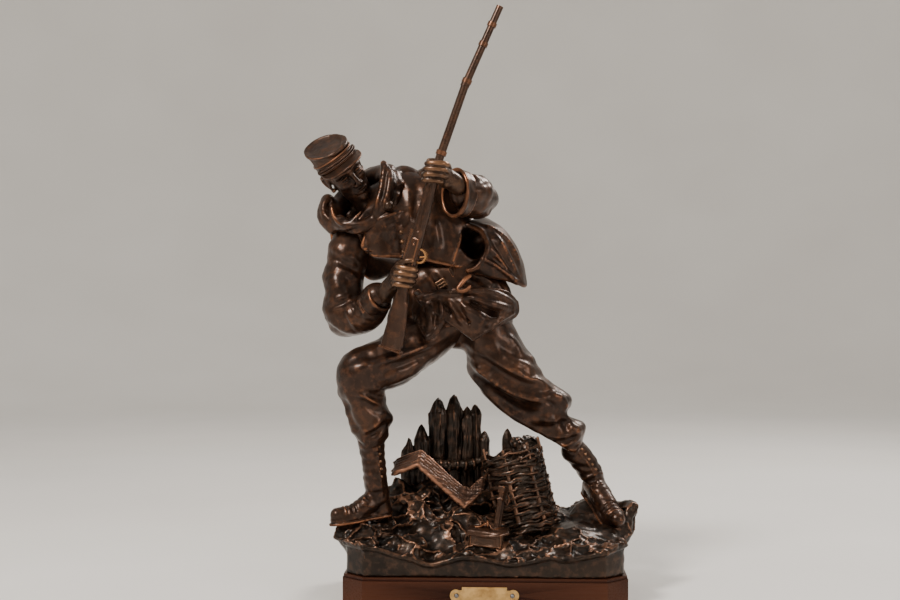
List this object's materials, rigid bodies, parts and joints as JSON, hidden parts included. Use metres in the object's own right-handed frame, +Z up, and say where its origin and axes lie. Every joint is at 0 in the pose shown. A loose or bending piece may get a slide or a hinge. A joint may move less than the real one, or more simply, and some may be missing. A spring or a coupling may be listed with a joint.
{
  "type": "bronze statuette",
  "caption": "Patinated bronze figure of a soldier in cape and kepi holding a rifle, climbing over a broken palisade and gabion, on a wooden plinth with a blank nameplate.",
  "frame": {"origin": "middle of the underside of the plinth, where it rests", "axes": "+Z up; the figure faces -Y; +X is the figure's left, the viewer's right"},
  "size_m": [0.3139, 0.1671, 0.5413],
  "materials": {
    "bronze_figure": "dark brown patina, waxed, rubbed copper on the edges",
    "bronze_rubbed": "brown patina rubbed through to warm copper",
    "bronze_ground": "greenish brown patina, glossy and rough cast",
    "bronze_props": "brown patina rubbed to copper on its high edges",
    "bronze_rifle": "dark brown patina, waxed",
    "plinth_wood": "dark red-brown, polished",
    "plinth_felt": "dull felt",
    "nameplate_brass": "aged, brushed",
    "nail_iron": "dark, domed",
    "steel_hardware": "plain"
  },
  "bodies": {
    "root": {"felt_pad": "plinth_felt", "plinth": "plinth_wood", "nameplate": "nameplate_brass", "nameplate_nails": "nail_iron", "terrace": "bronze_ground", "terrace_studs": "steel_hardware", "terrace_washers": "steel_hardware", "terrace_nuts": "steel_hardware", "palisade_stakes": "bronze_ground", "palisade_rail": "bronze_ground", "lone_stake": "bronze_ground", "bush": "bronze_ground", "gabion_weave": "bronze_ground", "gabion_posts": "bronze_ground", "broken_plank": "bronze_props", "scabbard": "bronze_props", "pouch_box": "bronze_props", "pouch_flap": "bronze_props", "pouch_strap": "bronze_props", "foot_studs": "steel_hardware", "foot_nuts": "steel_hardware", "shoe_right": "bronze_figure", "shoe_left": "bronze_figure", "gaiter_right": "bronze_figure", "gaiter_left": "bronze_figure", "gaiter_buttons": "bronze_rubbed", "trouser_right": "bronze_figure", "trouser_left": "bronze_figure", "waist_dowels": "steel_hardware", "coat_body": "bronze_figure", "coat_skirt": "bronze_figure", "skirt_corner_right": "bronze_figure", "skirt_corner_left": "bronze_figure", "skirt_hook": "bronze_rubbed", "belt": "bronze_figure", "belt_buckle": "bronze_rubbed", "cape": "bronze_figure", "cape_buttons": "bronze_rubbed", "hood": "bronze_figure", "neck_dowel": "steel_hardware", "head": "bronze_figure", "kepi_band": "bronze_figure", "kepi_crown": "bronze_figure", "kepi_visor": "bronze_figure", "kepi_strap": "bronze_rubbed", "sleeve_right": "bronze_figure", "sleeve_left": "bronze_figure", "shoulder_dowels": "steel_hardware", "cuff_right": "bronze_figure", "cuff_left": "bronze_figure", "wrist_dowels": "steel_hardware", "hand_right": "bronze_rubbed", "hand_left": "bronze_rubbed", "rifle_stock": "bronze_rifle", "butt_plate": "bronze_rifle", "receiver": "bronze_rifle", "bolt": "bronze_rifle", "trigger_guard": "bronze_rifle", "barrel": "bronze_rifle", "barrel_bands": "bronze_rifle"}
  },
  "joints": []
}
